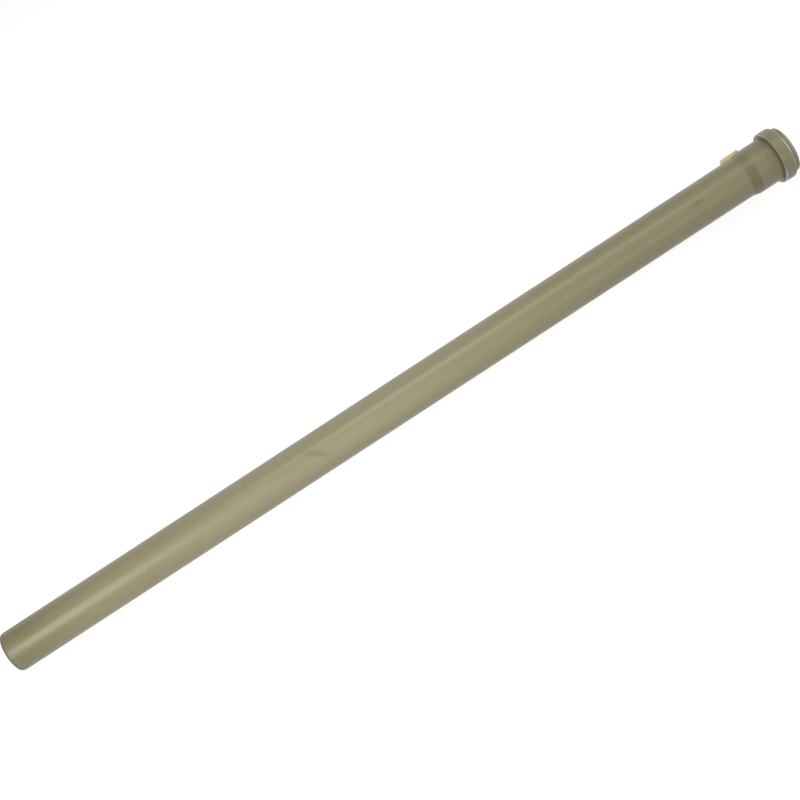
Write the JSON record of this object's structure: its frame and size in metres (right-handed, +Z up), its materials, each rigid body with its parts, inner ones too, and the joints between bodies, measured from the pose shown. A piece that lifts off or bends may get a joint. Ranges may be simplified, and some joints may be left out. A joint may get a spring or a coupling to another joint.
{
  "type": "drain pipe",
  "caption": "Straight grey-beige polypropylene drain pipe with a plain chamfered end, a belled push-fit socket, a rubber ring in its bead and a small yellow paper sticker.",
  "frame": {"origin": "middle of the pipe's footprint on the floor", "axes": "+X along the pipe from the plain end to the socket, +Z up from the floor that the pipe lies on"},
  "size_m": [1.0553, 0.0638, 0.0641],
  "materials": {
    "pipe": "satin grey-beige polypropylene",
    "rubber": "black rubber",
    "label": "golden yellow uncoated paper, blank"
  },
  "bodies": {
    "root": {"pipe": "pipe", "sealing_ring": "rubber", "label": "label"}
  },
  "joints": []
}
